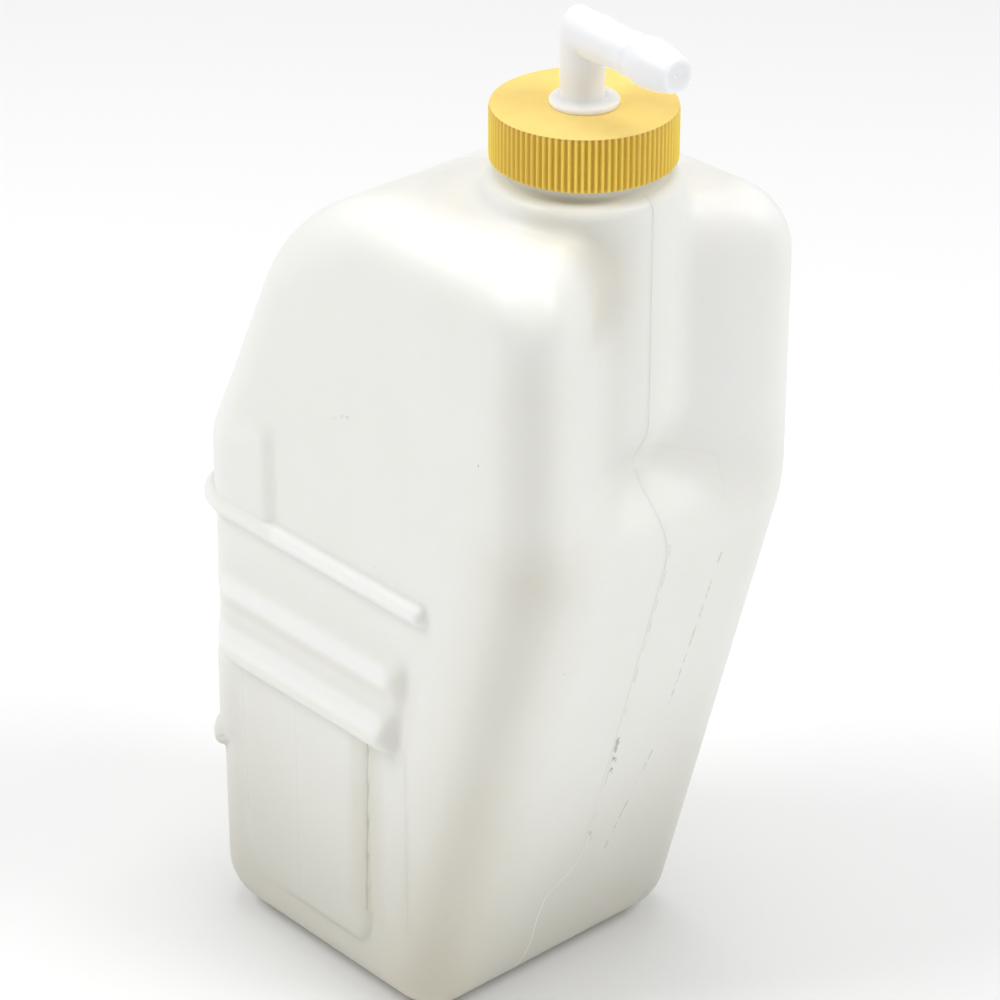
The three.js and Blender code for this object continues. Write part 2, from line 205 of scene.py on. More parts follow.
def write_piece(name: str, points: Array, wrap_rows: bool = False, sharp: float = 50.0,
                tags: dict[str, Array] | None = None) -> bpy.types.Object:
    """Puts a grid of points into a mesh, closes its ends at poles and turns its faces outwards.

    Args:
        name: the piece's name.
        points: (rows, columns, 3) millimetres; the columns close round.
        wrap_rows: whether the last row meets the first; otherwise each end closes at a pole.
        sharp: edges that turn by more degrees than this are kept hard.
        tags: (rows, columns) numbers that the material reads, by name.

    Returns:
        The piece, at the origin.
    """
    rows, columns = points.shape[:2]
    quads = grid_faces(rows, columns, wrap_rows)
    vertices = points.reshape(-1, 3)
    fans = np.empty((0, 3), int)
    if not wrap_rows:
        here = np.arange(columns)
        after = (here + 1) % columns
        first, last = rows * columns, rows * columns + 1
        end = (rows - 1) * columns
        fans = np.concatenate([np.stack([np.full(columns, first), after, here], -1),
                               np.stack([np.full(columns, last), end + here, end + after], -1)])
        vertices = np.concatenate([vertices, points[0].mean(0)[None], points[-1].mean(0)[None]])
    triangles = np.concatenate([quads[:, [0, 1, 2]], quads[:, [0, 2, 3]], fans])
    if enclosed_volume(vertices, triangles) < 0.0:
        quads, fans = quads[:, ::-1], fans[:, ::-1]
    mesh = bpy.data.meshes.new(name)
    mesh.vertices.add(len(vertices))
    mesh.vertices.foreach_set("co", (vertices * MM).astype(np.float32).ravel())
    corners = np.concatenate([quads.ravel(), fans.ravel()]).astype(np.int32)
    starts = np.concatenate([np.arange(len(quads)) * 4, 4 * len(quads) + np.arange(len(fans)) * 3])
    mesh.loops.add(len(corners))
    mesh.loops.foreach_set("vertex_index", corners)
    mesh.polygons.add(len(starts))
    mesh.polygons.foreach_set("loop_start", starts.astype(np.int32))
    mesh.update(calc_edges=True)
    mesh.validate()
    mesh.shade_smooth()
    mesh.set_sharp_from_angle(angle=math.radians(sharp))
    for tag, values in (tags or {}).items():
        flat = values.ravel()
        if not wrap_rows:
            flat = np.concatenate([flat, [values[0].mean(), values[-1].mean()]])
        mesh.attributes.new(tag, "FLOAT", "POINT").data.foreach_set("value", flat.astype(np.float32))
    piece = bpy.data.objects.new(name, mesh)
    bpy.context.scene.collection.objects.link(piece)
    return piece


def fit(piece: bpy.types.Object, finish: "Finish", body: Body, node: str | None = None) -> None:
    """Dresses a piece, sets it on its body and hides the CAD node it stands for."""
    piece.data.materials.append(finish.material())
    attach(piece, body.value)
    if node:
        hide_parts(node)
    log.info("%s: %d faces on %s", piece.name, len(piece.data.polygons), body.value)


# ------------------------------------------------------------------ finishes

class Shader:
    """One material's node tree, with short calls for the nodes that the finishes need."""

    def __init__(self, name: str) -> None:
        """Starts a material that holds a Principled surface and the Object coordinates."""
        self.made = bpy.data.materials.new(name)
        self.made.use_nodes = True
        self.tree = self.made.node_tree
        self.tree.nodes.clear()
        output = self.tree.nodes.new("ShaderNodeOutputMaterial")
        self.surface = self.tree.nodes.new("ShaderNodeBsdfPrincipled")
        self.tree.links.new(self.surface.outputs[0], output.inputs["Surface"])
        self.place = self.tree.nodes.new("ShaderNodeTexCoord").outputs["Object"]

    def node(self, kind: str, inputs: dict[str | int, object], **settings: object) -> bpy.types.Node:
        """Adds a node; an input that is a socket is linked, and any other is a value."""
        made = self.tree.nodes.new("ShaderNode" + kind)
        for key, value in settings.items():
            setattr(made, key, value)
        for key, value in inputs.items():
            if isinstance(value, Socket):
                self.tree.links.new(value, made.inputs[key])
            else:
                made.inputs[key].default_value = value
        return made

    def feed(self, inputs: dict[str, object]) -> None:
        """Sets inputs of the surface; one that is a socket is linked, and any other is a value."""
        for name, value in inputs.items():
            if isinstance(value, Socket):
                self.tree.links.new(value, self.surface.inputs[name])
            else:
                self.surface.inputs[name].default_value = value

    def math(self, operation: str, a: object, b: object = 0.0, clamp: bool = False) -> Socket:
        """One sum on two numbers."""
        return self.node("Math", {0: a, 1: b}, operation=operation, use_clamp=clamp).outputs[0]

    def vector(self, operation: str, a: object, b: object = (0.0, 0.0, 0.0), output: int = 0) -> Socket:
        """One sum on two vectors; output 1 is the sum's number."""
        return self.node("VectorMath", {0: a, 1: b}, operation=operation).outputs[output]

    def between(self, value: Socket, low: float, high: float) -> Socket:
        """Smooth step of a value from `low` to `high`, kept from 0 to 1."""
        made = self.node("MapRange", {"Value": value, "From Min": low, "From Max": high},
                         interpolation_type="SMOOTHSTEP", clamp=True)
        return made.outputs["Result"]

    def noise(self, scale: float, detail: float = 3.0, rough: float = 0.5,
              at: Socket | None = None) -> Socket:
        """Soft noise in Object coordinates; `scale` is in waves for each metre."""
        inputs = {"Vector": at or self.place, "Scale": scale, "Detail": detail, "Roughness": rough}
        return self.node("TexNoise", inputs).outputs["Fac"]

    def blend(self, factor: object, a: object, b: object, kind: str = "MIX") -> Socket:
        """Mixes two colours."""
        return self.node("Mix", {0: factor, 6: a, 7: b}, data_type="RGBA", blend_type=kind).outputs[2]

    def bump(self, height: Socket, strength: float, distance: float, under: Socket | None = None) -> Socket:
        """Tilts the normal by a height; `distance` in millimetres."""
        inputs = {"Height": height, "Strength": strength, "Distance": distance * MM}
        if under:
            inputs["Normal"] = under
        return self.node("Bump", inputs).outputs[0]

    def stretched(self, scale: Sequence[float]) -> Socket:
        """Object coordinates with each axis scaled."""
        return self.vector("MULTIPLY", self.place, tuple(scale))

    def axis(self, index: int) -> Socket:
        """One of the Object coordinates."""
        return self.node("SeparateXYZ", {0: self.place}).outputs[index]

    def stroke(self, mark: "Mark") -> Socket:
        """Mask of a line: `depth` on it, 0 beyond its reach, broken up where the mark is patchy.

        Formula: with h the part of AB nearest P, the mask falls with the length of P - A - h AB,
        where P has lost its coordinate across the mark's face.
        """
        start = [v * MM for v in mark.start]
        along = [(b - a) * MM for a, b in zip(mark.start, mark.end)]
        square = sum(v * v for v in along)
        away = self.vector("SUBTRACT", self.stretched(mark.face.value), tuple(start))
        part = self.math("MULTIPLY", self.vector("DOT_PRODUCT", away, tuple(along), 1), 1.0 / square, True)
        nearest = self.node("VectorMath", {0: tuple(along), 3: part}, operation="SCALE").outputs[0]
        distance = self.vector("DISTANCE", away, nearest, 1)
        core = 0.0 if mark.face is Face.EDGE else 0.25 * mark.reach
        mask = self.between(distance, mark.reach * MM, core * MM)
        if mark.patchy:
            gaps = self.noise(mark.patchy, 2.0, 0.6)
            mask = self.math("MULTIPLY", mask, self.between(gaps, 0.46, 0.6))
        if mark.face is Face.EDGE:
            return self.math("MULTIPLY", mask, mark.depth)
        if mark.face is Face.FRONT:
            facing = self.between(self.axis(0), 45.0 * MM, 55.0 * MM)
        else:
            facing = self.between(self.axis(1), -40.0 * MM, -50.0 * MM)
        return self.math("MULTIPLY", self.math("MULTIPLY", mask, facing), mark.depth)


class Face(Enum):
    """Where marks lie on the tank, with what is kept of each coordinate to measure from their line.

    An edge mark is measured in all three directions.
    """

    FRONT = (0.0, 1.0, 1.0)
    SIDE = (1.0, 0.0, 1.0)
    EDGE = (1.0, 1.0, 1.0)


@dataclass(frozen=True)
class Mark:
    """A line, scuff or speck of dirt, a painted shade line, or a zone of painted shade or of painted
    highlight.

    Attributes:
        face: which face it is on.
        start: one end, millimetres; the coordinate across the face is 0.
        end: the other end.
        reach: how far from the line it has faded out, millimetres.
        depth: how strongly it changes the colour, 0 to 1.
        patchy: waves for each metre of the gaps in it, or 0 for none.
    """

    face: Face
    start: tuple[float, float, float]
    end: tuple[float, float, float]
    reach: float
    depth: float
    patchy: float = 0.0


class Finish:
    """A surface finish; each makes one material, once."""

    cache: dict["Finish", bpy.types.Material] = {}

    def material(self) -> bpy.types.Material:
        """The finish's material."""
        if self not in Finish.cache:
            Finish.cache[self] = self.paint().made
        return Finish.cache[self]

    def paint(self) -> Shader:
        """Builds the node tree."""
        raise NotImplementedError


@dataclass(frozen=True)
class MilkyPlastic(Finish):
    """Blow-moulded natural polyethylene: milky, waxy, slightly mottled, with handling marks, painted shade,
    painted highlights and a painted glow.

    Attributes:
        light, shade: the two colours of the mottle.
        painted_shade, painted_highlight: colours of the painted shade zones and of the painted highlight
            zones.
        deep_painted_shade: colour of the painted shade at the base, which fades out at `painted_shade_height`
            millimetres.
        glow, glow_depth: weight and depth in millimetres of the scattering inside the plastic.
        painted_glow: light that the surface gives off, a painted glow that stands in for light carried inside
            a thin piece.
    """

    name: str
    light: Colour = (0.905, 0.908, 0.872, 1.0)
    shade: Colour = (0.880, 0.882, 0.838, 1.0)
    painted_shade: Colour = (0.58, 0.53, 0.38, 1.0)
    deep_painted_shade: Colour = (0.60, 0.585, 0.51, 1.0)
    painted_shade_height: float = 0.0
    dirt_and_crease_shade: Colour = (0.34, 0.32, 0.25, 1.0)
    glow: float = 0.6
    glow_depth: float = 2.5
    roughness: float = 0.40
    marks: tuple[Mark, ...] = ()
    painted_highlight: Colour = (0.98, 0.99, 0.95, 1.0)
    painted_shade_zones: tuple[Mark, ...] = ()
    painted_highlight_zones: tuple[Mark, ...] = ()
    painted_glow: float = 0.0

    def paint(self) -> Shader:
        """Mottled colour, painted shade towards the base, painted shade zones, painted highlight zones,
        orange-peel and flow-line bump, dirt and painted shade lines.
        """
        shader = Shader(self.name)
        cloud = shader.noise(14.0, 3.0, 0.55)
        flow = shader.noise(30.0, 4.0, 0.6, shader.stretched((1.0, 1.0, 0.18)))
        mottle = shader.math("ADD", shader.math("MULTIPLY", cloud, 0.65), shader.math("MULTIPLY", flow, 0.35))
        colour = shader.blend(shader.between(mottle, 0.3, 0.72), self.shade, self.light)
        # Painted shade: the colour turns darker and browner towards the base.
        if self.painted_shade_height:
            low = shader.math("ADD", shader.axis(2), shader.math("MULTIPLY", cloud, 20.0 * MM))
            painted_shade = shader.between(low, self.painted_shade_height * MM, 0.0)
            colour = shader.blend(painted_shade, colour, self.deep_painted_shade)
        # Painted shade: brown zones along the corner, the crease, the ledge's end and undersides, and beside
        # the neck column.
        for zone in self.painted_shade_zones:
            colour = shader.blend(shader.stroke(zone), colour, self.painted_shade)
        # Painted highlights: pale zones on the ridge tops and on the flank beside the neck column.
        for zone in self.painted_highlight_zones:
            colour = shader.blend(shader.stroke(zone), colour, self.painted_highlight)
        specks = shader.node("TexVoronoi", {"Vector": shader.place, "Scale": 85.0, "Randomness": 1.0})
        lot = shader.node("SeparateColor", {0: specks.outputs["Color"]}).outputs[0]
        chosen = shader.between(lot, 0.93, 0.95)
        speck = shader.math("MULTIPLY", shader.between(specks.outputs["Distance"], 0.042, 0.022), chosen)
        dirt_and_crease_shade = shader.math("MULTIPLY", speck, 0.55)
        # The marks are dirt and witness lines, and painted shade lines down the side's crease and panel
        # edges.
        for mark in self.marks:
            dirt_and_crease_shade = shader.math("MAXIMUM", dirt_and_crease_shade, shader.stroke(mark))
        shader.feed({"Base Color": self.light})
        shader.feed({"Base Color": shader.blend(dirt_and_crease_shade, colour, self.dirt_and_crease_shade)})
        peel = shader.noise(420.0, 2.0, 0.5)
        waves = shader.noise(60.0, 2.0, 0.5, shader.stretched((1.0, 1.0, 0.35)))
        scratches = shader.noise(900.0, 3.0, 0.7, shader.stretched((0.25, 0.25, 1.0)))
        wear = shader.between(shader.noise(22.0, 2.0), 0.5, 0.66)
        fine = shader.math("MULTIPLY", shader.between(scratches, 0.6, 0.72), wear)
        rough = shader.math("ADD", shader.math("MULTIPLY", cloud, 0.14), self.roughness - 0.07)
        rough = shader.math("ADD", rough, shader.math("MULTIPLY", fine, 0.16))
        normal = shader.bump(waves, 0.5, 0.22)
        normal = shader.bump(peel, 0.35, 0.03, normal)
        clean = shader.math("SUBTRACT", 1.0, shader.math("MAXIMUM", dirt_and_crease_shade, fine))
        normal = shader.bump(clean, 0.5, 0.05, normal)
        # The emission is a painted glow: the surface gives off light of its own.
        shader.feed({"Roughness": rough, "Normal": normal, "Subsurface Weight": self.glow,
                     "Subsurface Radius": (0.8, 0.87, 1.0), "Subsurface Scale": self.glow_depth * MM,
                     "Emission Color": (1.0, 0.98, 0.95, 1.0), "Emission Strength": self.painted_glow,
                     "IOR": 1.5, "Specular IOR Level": 0.42})
        return shader


@dataclass(frozen=True)
class CapPlastic(Finish):
    """Injection-moulded yellow polypropylene: satin, with painted shade in the grooves, a top painted paler
    as a painted sheen, and light rub marks.
    """

    name: str = "cap_yellow_painted_light_and_shade"
    # The top colour is a painted sheen and the groove colour is painted shade; the rib colour is the cap's
    # own yellow.
    top: Colour = (0.92, 0.69, 0.21, 1.0)
    rib: Colour = (0.96, 0.745, 0.13, 1.0)
    groove: Colour = (0.70, 0.42, 0.035, 1.0)

    def paint(self) -> Shader:
        """Painted shade in the grooves by the `groove` tag, a paler top as painted sheen by the `side` tag,
        satin grain, rubs on the top.
        """
        shader = Shader(self.name)
        deep_painted_shade = shader.node("Attribute", {}, attribute_name="groove").outputs["Fac"]
        side = shader.node("Attribute", {}, attribute_name="side").outputs["Fac"]
        cloud = shader.noise(55.0, 4.0, 0.6)
        flow = shader.noise(120.0, 3.0, 0.6, shader.stretched((1.0, 0.3, 1.0)))
        # Painted sheen: the top is paler than the ribbed side.
        colour = shader.blend(side, self.top, self.rib)
        # Painted shade: the grooves are darker.
        colour = shader.blend(deep_painted_shade, colour, self.groove)
        shadow = shader.math("MULTIPLY", shader.between(cloud, 0.62, 0.38), 0.16)
        colour = shader.blend(shadow, colour, (0.74, 0.47, 0.07, 1.0))
        strokes = shader.noise(260.0, 4.0, 0.7, shader.stretched((1.0, 0.35, 1.0)))
        rubs = shader.math("MULTIPLY", shader.between(strokes, 0.66, 0.76), shader.between(cloud, 0.52, 0.64))
        colour = shader.blend(shader.math("MULTIPLY", rubs, 0.5), colour, (0.97, 0.86, 0.50, 1.0))
        rough = shader.math("ADD", shader.math("MULTIPLY", flow, 0.18), 0.36)
        grain = shader.bump(shader.noise(1500.0, 2.0), 0.4, 0.02)
        grain = shader.bump(rubs, 0.4, 0.04, grain)
        shader.feed({"Base Color": colour, "Roughness": rough, "Normal": grain, "Subsurface Weight": 0.2,
                     "Subsurface Radius": (1.0, 0.6, 0.15), "Subsurface Scale": 1.5 * MM,
                     "Specular IOR Level": 0.4})
        return shader


@dataclass(frozen=True)
class MattePiece(Finish):
    """Rubber, foam, hose or steel: cloudy variation, grain and uneven roughness.

    Attributes:
        light, shade: the two colours of the clouds.
        grain: waves of the grain for each metre.
        depth: depth of the grain, millimetres.
        glow: weight of the scattering inside the material.
    """

    name: str
    light: Colour
    shade: Colour
    roughness: float
    grain: float
    depth: float
    glow: float = 0.0
    metallic: float = 0.0

    def paint(self) -> Shader:
        """Cloudy colour between shade and light, grain bump."""
        shader = Shader(self.name)
        cloud = shader.noise(130.0, 4.0, 0.6)
        grain = shader.noise(self.grain, 3.0, 0.6)
        colour = shader.blend(shader.between(cloud, 0.3, 0.7), self.shade, self.light)
        rough = shader.math("ADD", shader.math("MULTIPLY", grain, 0.2), self.roughness - 0.1)
        shader.feed({"Base Color": colour, "Roughness": rough, "Normal": shader.bump(grain, 0.6, self.depth),
                     "Metallic": self.metallic, "Subsurface Weight": self.glow,
                     "Subsurface Radius": (1.0, 1.0, 0.9), "Subsurface Scale": 2.0 * MM})
        return shader


# ------------------------------------------------------------------ tank

@dataclass
class ScrewThread:
    """Half-round right-hand thread: height of its crest over the wall at an angle and a z."""

    start_z: float
    start_turn: float
    pitch: float = 5.0
    turns: float = 1.5
    section: float = 1.2
    crest: float = 1.4
    sunk: float = 0.2
    laps: int = 2

    def rise(self, angle: Array, z: Array) -> Array:
        """Height of the thread: sqrt(r^2 - dz^2) about the helix, fading in and out at its ends.

        The lowest `sunk` millimetres count for half, which softens its foot.

        Args:
            angle: radians.
            z: millimetres.

        Returns:
            Millimetres above the wall.
        """
        first = np.mod(angle - self.start_turn, FULL_TURN) / FULL_TURN
        best = np.zeros(np.broadcast(angle, z).shape)
        for lap in range(self.laps):
            along = first + lap
            off = z - self.start_z - along * self.pitch
            height = np.sqrt(np.maximum(self.section ** 2 - off * off, 0.0)) - self.section + self.crest
            fade = ramp(0.0, 0.05, along) * ramp(self.turns, self.turns - 0.05, along)
            best = np.maximum(best, np.where(np.abs(off) < self.section, height, 0.0) * fade)
        return np.maximum(best - self.sunk, 0.0) + np.minimum(best, self.sunk) * 0.5


@dataclass
class ReservoirTank:
    """The blow-moulded tank: one wall that runs from the base over the shoulder, up the neck,
    into the mouth and back down inside."""

    wall: float = 2.2
    half_width: float = 56.3
    edge_round: float = 17.4
    corners: tuple[tuple[float, float, float], ...] = (
        (-53.5, 0.0, 18.5), (53.5, 0.0, 18.5), (104.7, 178.9, 58.0),
        (104.7, 275.0, 20.7), (-6.5, 275.0, 69.0), (-53.5, 176.7, 27.5))
    valley_floor: float = 86.0
    flank_reach: float = 71.7
    valley_foot: float = 192.3
    foot_slope: float = 0.445
    valley_round: float = 9.0
    rim_round: float = 15.0
    column_radius: float = 29.0
    column_foot: float = 198.0
    column_top: float = 284.0
    column_fillet: float = 5.0
    neck_radius: float = 23.4
    mouth_radius: float = 20.5
    neck_top: float = 299.5
    bead_z: float = 153.6
    bead_radius: float = 3.5
    bead_front: float = 58.5
    lip_z: float = 65.0
    lip_front: float = -43.0
    rear_end: float = 36.0
    pad_rise: float = 2.1
    channel_rise: float = 0.55
    rear_pad_rise: float = 1.4
    ledge_z: tuple[float, ...] = (97.5, 99.3, 100.6, 103.5, 108.0, 111.5, 115.0, 118.5, 121.5, 125.0, 128.5,
                                  131.5, 134.5, 138.0)
    ledge_rise: tuple[float, ...] = (0.0, 0.9, 4.4, 6.4, 5.9, 4.0, 2.2, 1.7, 2.9, 4.5, 4.2, 2.5, 0.9, 0.0)
    columns: int = 304
    skin_rows: int = 196
    inner_rows: int = 74
    march_step: float = 2.6
    march_steps: int = 62
    halvings: int = 14

    def side_distance(self, x: Array, z: Array) -> Array:
        """Distance to the side outline: the furthest of its edges, and inside the angle of a
        corner the distance to that corner's arc."""
        count = len(self.corners)
        points = [np.array(c[:2]) for c in self.corners]
        normals = []
        for i in range(count):
            edge = points[(i + 1) % count] - points[i]
            normals.append(np.array([edge[1], -edge[0]]) / np.hypot(*edge))
        result = np.full(np.broadcast(x, z).shape, -1e9)
        for point, normal in zip(points, normals):
            result = np.maximum(result, normal[0] * (x - point[0]) + normal[1] * (z - point[1]))
        for i in range(count):
            before, after, radius = normals[i - 1], normals[i], self.corners[i][2]
            centre = points[i] - radius * (before + after) / (1.0 + before @ after)
            vx, vz = x - centre[0], z - centre[1]
            inside = (before[0] * vz - before[1] * vx >= 0.0) & (vx * after[1] - vz * after[0] >= 0.0)
            result = np.where(inside, np.hypot(vx, vz) - radius, result)
        return result

    def bead(self, x: Array, y: Array, z: Array, level: float, front: float) -> Array:
        """Round bead that wraps the rear corner: sqrt(r^2 - d^2) about its line, ends rounded."""
        past = np.hypot(np.maximum(x - front + 2.4, 0.0), np.maximum(y - self.rear_end + 2.4, 0.0))
        across = np.hypot(z - level, 1.4 * past)
        arch = np.sqrt(np.maximum(self.bead_radius ** 2 - across ** 2, 0.0))
        height = np.where(across < self.bead_radius, arch, self.bead_radius - across)
        return softened(height, 1.3) * ramp(8.5, 4.5, across)

    def relief(self, x: Array, y: Array, z: Array) -> Array:
        """How far the skin stands proud: bead, lip, pad, ledge, panel, channel and rear pad.

        Args:
            x, y, z: millimetres.

        Returns:
            Millimetres along the surface normal.
        """
        side = ramp(-36.0, -46.0, y)
        bead = self.bead(x, y, z, self.bead_z, self.bead_front)
        lip = self.bead(x, y, z, self.lip_z, self.lip_front)
        pad = self.pad_rise * side * ramp(-11.6, -16.4, x) * ramp(-50.0, -34.0, x) * ramp(151.5, 154.0, z)
        pad = pad * ramp(190.6, 186.0 - 10.0 * ramp(-16.0, -36.0, x), z)
        top = np.maximum(bead, pad) + 0.25 * np.minimum(bead, pad) * (bead > 0) * (pad > 0)
        stop = 41.5 + 0.2 * np.clip(z - 103.0, 0.0, 26.0)
        end = ramp(3.6, -1.6, x - stop)
        ledge = np.interp(z, self.ledge_z, self.ledge_rise) * side * end * ramp(-47.0, -33.0, x)
        corner = np.where(x < -1.0, 17.0, 9.0)
        inside = rounded_rectangle(x, z, (-31.5, 21.5), (30.4, 112.0), corner)
        rolled = np.clip((30.6 - x) / 8.0, 0.0, 1.0)
        crown = np.sqrt(np.maximum(1.0 - (1.0 - rolled) ** 2, 0.0))
        body = (0.45 + 1.45 * ramp(-30.0, 6.0, x)) * crown
        panel = side * body * ramp(0.4, -1.2, inside) * ramp(104.0, 99.0, z)
        channel = self.channel_rise * side * ramp(30.2, 31.2, x) * ramp(48.2, 47.2, x)
        channel = channel * ramp(32.0, 38.0, z) * ramp(104.0, 99.0, z)
        rear = self.rear_pad_rise * ramp(-34.0, -42.0, x) * ramp(65.0, 67.0, z) * ramp(98.5, 95.0, z)
        rear = rear * ramp(self.rear_end, self.rear_end - 2.5, y)
        return np.maximum.reduce([top, lip, ledge, panel, channel, rear])

    def distance(self, point: Array) -> Array:
        """Distance to the tank, negative inside.

        The side outline swept across the width with rounded edges and raised by the relief, less
        the valley with rounded rims, joined by fillets to the round column under the neck.
        """
        x, y, z = point[..., 0], point[..., 1], point[..., 2]
        body = round_and(self.side_distance(x, z), np.abs(y) - self.half_width, self.edge_round)
        body = body - self.relief(x, y, z)
        floor = self.valley_floor - x
        flank = (self.flank_reach + np.abs(y) - x) * math.sqrt(0.5)
        foot = self.valley_foot - self.foot_slope * (x - self.valley_floor) - z
        foot = foot / math.hypot(1.0, self.foot_slope)
        valley = round_and(round_and(floor, flank, self.valley_round), foot, self.valley_round)
        tank = round_and(body, -valley, self.rim_round)
        away = np.hypot(x - AXIS_X, y) - self.column_radius
        column = round_and(round_and(away, z - self.column_top, 4.0), self.column_foot - z, 16.0)
        return round_or(tank, column, self.column_fillet)

    def strike(self, origin: Array, heading: Array, inset: float) -> Array:
        """Where rays from inside first meet the skin: a march in equal steps, then halving.

        Args:
            origin: (..., 3) starting points.
            heading: (..., 3) unit vectors.
            inset: how far inside the outer skin the wanted surface lies.

        Returns:
            (..., 3) points.
        """
        shape = heading.shape[:-1]
        near = np.zeros(shape)
        found = np.zeros(shape, bool)
        for k in range(1, self.march_steps + 1):
            reached = k * self.march_step
            found |= self.distance(origin + heading * reached) + inset > 0.0
            near = np.where(found, near, reached)
        far = near + self.march_step
        for _ in range(self.halvings):
            middle = 0.5 * (near + far)
            out = self.distance(origin + heading * middle[..., None]) + inset > 0.0
            far = np.where(out, middle, far)
            near = np.where(out, near, middle)
        return origin + heading * (0.5 * (near + far))[..., None]

    def rays(self, climb: Array, turn: Array) -> tuple[Array, Array]:
        """Rays from a spine inside the tank: they sweep the base, climb level, then tip upwards.

        Args:
            climb: 0 at the centre of the base to 1 at the turret's top.
            turn: angle about the vertical, radians.

        Returns:
            Origins and unit headings, each (climbs, turns, 3).
        """
        knots = [0.0, 0.14, 0.66, 0.80, 1.0]
        tilt = np.radians(np.interp(climb, knots, [-88.0, 0.0, 0.0, 20.0, 53.9]))[:, None]
        x = np.interp(climb, knots, [0.0, 0.0, 24.0, 34.0, AXIS_X])
        z = np.interp(climb, knots, [20.0, 20.0, 224.0, 238.0, 250.0])
        origin = np.stack([x, 0.0 * x, z], -1)[:, None] + np.zeros((1, len(turn), 3))
        level = np.cos(tilt)
        heading = np.stack([level * np.cos(turn), level * np.sin(turn), np.sin(tilt) + 0.0 * turn], -1)
        return origin, heading

    def spacing(self) -> tuple[Array, Array]:
        """Climbs and turns that put the rows and columns evenly over the skin."""
        climb, turn = np.linspace(0.0, 1.0, 330), np.linspace(-np.pi, np.pi, 73)
        trial = self.strike(*self.rays(climb, turn[:-1]), 0.0)
        climbs = even_values(trial, climb, self.skin_rows, 3.0)
        turn = np.linspace(-np.pi, np.pi, 361)
        trial = self.strike(*self.rays(climbs[8:: 6], turn), 0.0)
        turns = even_values(trial.transpose(1, 0, 2), turn, self.columns + 1, 3.0)
        return climbs, turns[:-1]

    def neck(self, turns: Array) -> Array:
        """Neck wall with its thread, the rounded rim and the mouth's bore, upwards then down."""
        thread = ScrewThread(THREAD_START, 0.0)
        blend, fillet = np.linspace(0.0, np.pi / 2.0, 5), 1.2
        foot = np.stack([self.neck_radius + fillet - fillet * np.sin(blend),
                         self.column_top + fillet - fillet * np.cos(blend)], -1)
        rise = np.linspace(self.column_top + 1.6, self.neck_top - 0.9, 30)
        wall = np.stack([np.full_like(rise, self.neck_radius), rise], -1)
        middle = 0.5 * (self.neck_radius + self.mouth_radius)
        half = 0.5 * (self.neck_radius - self.mouth_radius)
        arc = np.linspace(0.0, np.pi, 7)
        rim = np.stack([middle + half * np.cos(arc), self.neck_top - 0.9 + 0.9 * np.sin(arc)], -1)
        down = np.linspace(self.neck_top - 3.0, self.column_top - self.wall - 0.6, 6)
        bore = np.stack([np.full_like(down, self.mouth_radius), down], -1)
        profile = np.concatenate([foot, wall, rim, bore])
        profile = np.repeat(profile[:, None], len(turns), axis=1)
        walls = slice(len(foot), len(foot) + len(wall))
        profile[walls, :, 0] += thread.rise(turns[None], profile[walls, :, 1])
        return ring_rows(profile, turns)

    def build(self) -> bpy.types.Object:
        """Makes the whole wall as one closed surface."""
        climbs, turns = self.spacing()
        skin = self.strike(*self.rays(climbs, turns), 0.0)
        share = np.linspace(0.985, 0.0, self.inner_rows)
        inner_climbs = np.interp(share, np.linspace(0.0, 1.0, len(climbs)), climbs)
        inner = self.strike(*self.rays(inner_climbs, turns), self.wall)
        return write_piece("tank_body_moulding", np.concatenate([skin, self.neck(turns), inner]))

    def seam_path(self) -> tuple[Array, Array]:
        """The parting line: up the rear and down the front in the plane y = 0, stepping aside low
        on the front.

        Returns:
            (points, 3) points on the skin and the (points, 3) outward normals there.
        """
        origin, heading = self.rays(np.linspace(1.0, 0.0, 420), np.array([0.0, np.pi]))
        front, rear = self.strike(origin, heading, 0.0).transpose(1, 0, 2)
        heights = [0.0, 7.5, 17.3, 28.8, 37.9, 44.6, 53.0]
        aside = -np.interp(front[:, 2], heights, [17.0, 17.0, 14.0, 14.0, 12.5, 3.5, 0.0])
        shifted = origin[:, 0] + np.stack([0.0 * aside, aside, 0.0 * aside], -1)
        front = self.strike(shifted[:-1], heading[:-1, 0], 0.0)
        path = np.concatenate([front, rear[::-1]])
        step = np.linalg.norm(np.diff(path, axis=0), axis=-1)
        total = np.concatenate([[0.0], np.cumsum(step)])
        even = np.linspace(0.0, total[-1], 760)
        path = np.stack([np.interp(even, total, path[:, i]) for i in range(3)], -1)
        normal = np.stack([self.distance(path + d) - self.distance(path - d) for d in 0.4 * np.eye(3)], -1)
        return path, unit(normal)

    def build_seam(self) -> bpy.types.Object:
        """The flash left at the parting line: a low ridge carried along it, with two cut stubs.

        Its section is an ellipse; under the base it stays above the floor, inside the wall.
        """
        path, normal = self.seam_path()
        path[:, 2] = np.maximum(path[:, 2], 0.1)
        tangent = unit(np.gradient(path, axis=0))
        across = unit(np.cross(normal, tangent))
        angle = np.linspace(0.0, FULL_TURN, 9)[:-1]
        half_wide, half_high = 0.24, 0.08
        section = np.stack([half_wide * np.cos(angle), half_high * np.sin(angle)], -1)
        section = np.repeat(section[None], len(path), 0)
        run = np.linspace(0.0, 1.0, len(path))
        stub = np.zeros(len(path))
        for place, reach in (((-8.0, 0.0, 271.0), 3.0), ((45.0, -15.0, 2.0), 3.2)):
            stub = np.maximum(stub, ramp(reach, 0.4 * reach, np.linalg.norm(path - np.array(place), axis=-1)))
        section[..., 1] *= (1.0 + 4.0 * stub + 0.35 * np.sin(run * 260.0) * np.sin(run * 97.0))[:, None]
        section[..., 0] *= (1.0 + 0.6 * stub)[:, None]
        return write_piece("tank_parting_line", swept_rows(path, across, normal, section), sharp=70.0)

